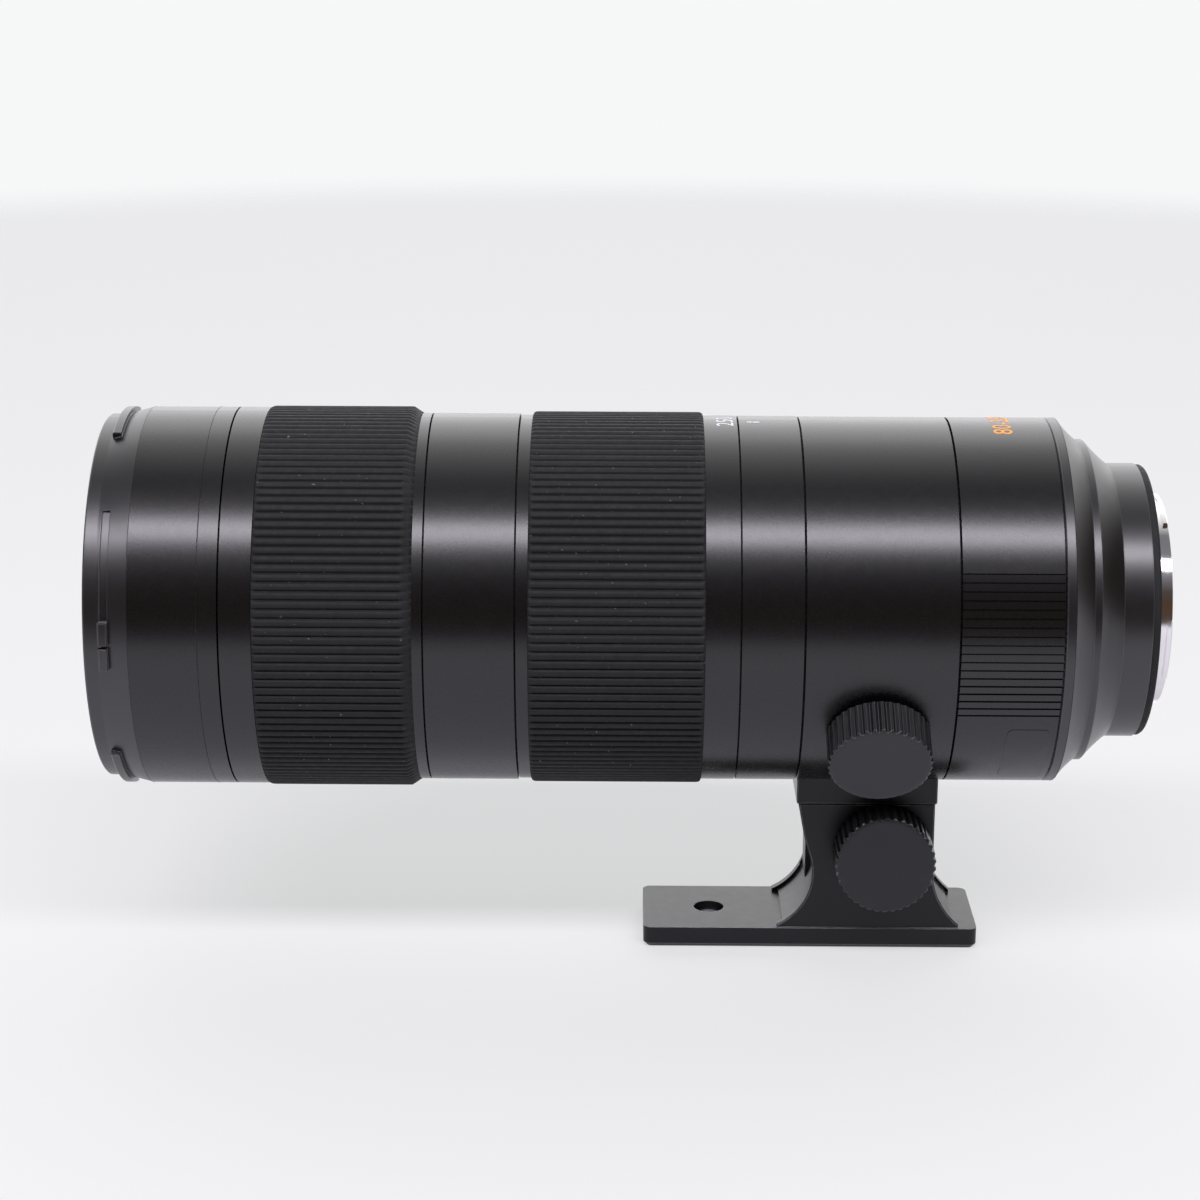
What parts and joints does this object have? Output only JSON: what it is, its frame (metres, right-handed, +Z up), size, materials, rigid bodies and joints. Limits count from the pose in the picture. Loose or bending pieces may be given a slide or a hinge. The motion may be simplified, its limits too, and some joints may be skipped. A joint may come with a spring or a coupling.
{
  "type": "camera zoom lens",
  "caption": "Long zoom lens with ribbed focus and zoom rings, bayonet camera mount and a rotating tripod collar on a removable dovetail foot.",
  "frame": {"origin": "centre of the camera mount's flange face, on the optical axis", "axes": "+X along the optical axis out of the mount towards the camera, +Z up with the foot below, +Y to the far side of the picture"},
  "size_m": [0.2419, 0.0942, 0.1259],
  "materials": {
    "black_metal": "satin black anodised",
    "foot_metal": "satin black anodised",
    "rubber": "matte",
    "inner_metal": "matte black anodised",
    "bright_steel": "ground",
    "blade_steel": "black coated",
    "chrome_mount": "bright chromed brass",
    "contact_gold": "gold plated",
    "black_plastic": "matte",
    "glass": "coated, polished"
  },
  "bodies": {
    "barrel": {"hood_bayonet_ring": "black_metal", "front_barrel": "black_metal", "main_tube": "inner_metal", "front_retainer": "inner_metal", "front_cell": "inner_metal", "front_element": "glass", "second_element": "glass", "guide_plate": "inner_metal", "guide_rods": "bright_steel", "mid_barrel": "black_metal", "index_ring": "black_metal", "iris_housing": "inner_metal", "iris_cover": "inner_metal", "relay_cell": "inner_metal", "relay_element": "glass", "focus_motor": "bright_steel", "focus_rods": "bright_steel", "circuit_board": "black_plastic", "rear_barrel": "black_metal", "mount_cone": "black_metal", "mount_gasket": "rubber", "bayonet_mount": "chrome_mount", "mount_screws": "bright_steel", "rear_baffle": "black_plastic", "contact_block": "black_plastic", "contact_pins": "contact_gold", "rear_cell": "inner_metal", "rear_element": "glass"},
    "focus_ring": {"focus_ring": "black_metal", "focus_grip": "rubber"},
    "zoom_ring": {"zoom_ring": "black_metal", "zoom_grip": "rubber", "zoom_key": "bright_steel", "zoom_cam_tube": "inner_metal"},
    "variator": {"variator_carriage": "inner_metal", "variator_followers": "bright_steel", "variator_glass": "glass"},
    "compensator": {"compensator_carriage": "inner_metal", "compensator_followers": "bright_steel", "compensator_glass": "glass"},
    "focus_group": {"focus_carriage": "inner_metal", "focus_element": "glass"},
    "focus_screw": {"focus_screw": "bright_steel"},
    "iris_drive": {"iris_drive_ring": "inner_metal"},
    "tripod_collar": {"tripod_collar": "black_metal"},
    "collar_pad": {"collar_pad": "black_plastic"},
    "collar_knob": {"collar_knob": "black_metal"},
    "tripod_foot": {"tripod_foot": "foot_metal", "small_socket": "bright_steel"},
    "foot_knob": {"foot_knob": "black_metal"},
    "foot_jaw": {"clamp_jaw": "foot_metal"},
    "iris_blade_1": {"iris_blade_1": "blade_steel"},
    "iris_blade_2": {"iris_blade_2": "blade_steel"},
    "iris_blade_3": {"iris_blade_3": "blade_steel"},
    "iris_blade_4": {"iris_blade_4": "blade_steel"},
    "iris_blade_5": {"iris_blade_5": "blade_steel"},
    "iris_blade_6": {"iris_blade_6": "blade_steel"},
    "iris_blade_7": {"iris_blade_7": "blade_steel"},
    "iris_blade_8": {"iris_blade_8": "blade_steel"},
    "iris_blade_9": {"iris_blade_9": "blade_steel"}
  },
  "joints": [
    {"name": "focus_turn", "type": "hinge", "parent": "barrel", "child": "focus_ring", "pos_m": [-0.1858, 0, 0], "axis": [1, 0, 0], "continuous": true},
    {"name": "zoom_turn", "type": "hinge", "parent": "barrel", "child": "zoom_ring", "pos_m": [-0.11835, 0, 0], "axis": [1, 0, 0], "range_deg": [0, 80]},
    {"name": "variator_slide", "type": "slide", "parent": "barrel", "child": "variator", "axis": [1, 0, 0], "range_m": [0, 0.028]},
    {"name": "compensator_slide", "type": "slide", "parent": "barrel", "child": "compensator", "axis": [-1, 0, 0], "range_m": [0, 0.01]},
    {"name": "focus_slide", "type": "slide", "parent": "barrel", "child": "focus_group", "axis": [1, 0, 0], "range_m": [0, 0.005]},
    {"name": "focus_screw_turn", "type": "hinge", "parent": "barrel", "child": "focus_screw", "pos_m": [-0.0275, 0.03, 0], "axis": [1, 0, 0], "range_deg": [0, 600]},
    {"name": "iris_turn", "type": "hinge", "parent": "barrel", "child": "iris_drive", "pos_m": [-0.0529, 0, 0], "axis": [1, 0, 0], "range_deg": [0, 3.61]},
    {"name": "blade_1_turn", "type": "hinge", "parent": "barrel", "child": "iris_blade_1", "pos_m": [-0.05635, 0, 0.029], "axis": [1, 0, 0], "range_deg": [0, 30]},
    {"name": "blade_2_turn", "type": "hinge", "parent": "barrel", "child": "iris_blade_2", "pos_m": [-0.05605, -0.01864, 0.02222], "axis": [1, 0, 0], "range_deg": [0, 30]},
    {"name": "blade_3_turn", "type": "hinge", "parent": "barrel", "child": "iris_blade_3", "pos_m": [-0.05575, -0.02856, 0.00504], "axis": [1, 0, 0], "range_deg": [0, 30]},
    {"name": "blade_4_turn", "type": "hinge", "parent": "barrel", "child": "iris_blade_4", "pos_m": [-0.05545, -0.02511, -0.0145], "axis": [1, 0, 0], "range_deg": [0, 30]},
    {"name": "blade_5_turn", "type": "hinge", "parent": "barrel", "child": "iris_blade_5", "pos_m": [-0.05515, -0.00992, -0.02725], "axis": [1, 0, 0], "range_deg": [0, 30]},
    {"name": "blade_6_turn", "type": "hinge", "parent": "barrel", "child": "iris_blade_6", "pos_m": [-0.05485, 0.00992, -0.02725], "axis": [1, 0, 0], "range_deg": [0, 30]},
    {"name": "blade_7_turn", "type": "hinge", "parent": "barrel", "child": "iris_blade_7", "pos_m": [-0.05455, 0.02511, -0.0145], "axis": [1, 0, 0], "range_deg": [0, 30]},
    {"name": "blade_8_turn", "type": "hinge", "parent": "barrel", "child": "iris_blade_8", "pos_m": [-0.05425, 0.02856, 0.00504], "axis": [1, 0, 0], "range_deg": [0, 30]},
    {"name": "blade_9_turn", "type": "hinge", "parent": "barrel", "child": "iris_blade_9", "pos_m": [-0.05395, 0.01864, 0.02222], "axis": [1, 0, 0], "range_deg": [0, 30]},
    {"name": "collar_turn", "type": "hinge", "parent": "barrel", "child": "tripod_collar", "pos_m": [-0.06245, 0, 0], "axis": [1, 0, 0], "continuous": true},
    {"name": "collar_pad_slide", "type": "slide", "parent": "tripod_collar", "child": "collar_pad", "axis": [0, -0.8625, -0.506], "range_m": [0, 0.0004]},
    {"name": "collar_knob_turn", "type": "hinge", "parent": "collar_pad", "child": "collar_knob", "pos_m": [-0.06245, -0.03968, -0.02328], "axis": [0, -0.8625, -0.506], "range_deg": [0, 288]},
    {"name": "foot_slide", "type": "slide", "parent": "tripod_collar", "child": "tripod_foot", "axis": [-1, 0, 0], "range_m": [0, 0.033]},
    {"name": "foot_knob_turn", "type": "hinge", "parent": "tripod_foot", "child": "foot_knob", "pos_m": [-0.05855, -0.018, -0.0575], "axis": [0, -1, 0], "range_deg": [0, 270]},
    {"name": "foot_jaw_slide", "type": "slide", "parent": "tripod_foot", "child": "foot_jaw", "axis": [0, 1, 0], "range_m": [0, 0.0006]}
  ],
  "couplings": [
    {"joint": "variator_slide", "follows": "zoom_turn", "m_per_rad": 0.020053},
    {"joint": "compensator_slide", "follows": "zoom_turn", "m_per_rad": 0.0071615},
    {"joint": "focus_screw_turn", "follows": "focus_slide", "rad_per_m": 2094.4},
    {"joint": "collar_pad_slide", "follows": "collar_knob_turn", "m_per_rad": 0.00007957},
    {"joint": "foot_jaw_slide", "follows": "foot_knob_turn", "m_per_rad": 0.00012731},
    {"joint": "blade_1_turn", "follows": "iris_turn", "ratio": 8.3123},
    {"joint": "blade_2_turn", "follows": "iris_turn", "ratio": 8.3123},
    {"joint": "blade_3_turn", "follows": "iris_turn", "ratio": 8.3123},
    {"joint": "blade_4_turn", "follows": "iris_turn", "ratio": 8.3123},
    {"joint": "blade_5_turn", "follows": "iris_turn", "ratio": 8.3123},
    {"joint": "blade_6_turn", "follows": "iris_turn", "ratio": 8.3123},
    {"joint": "blade_7_turn", "follows": "iris_turn", "ratio": 8.3123},
    {"joint": "blade_8_turn", "follows": "iris_turn", "ratio": 8.3123},
    {"joint": "blade_9_turn", "follows": "iris_turn", "ratio": 8.3123}
  ]
}
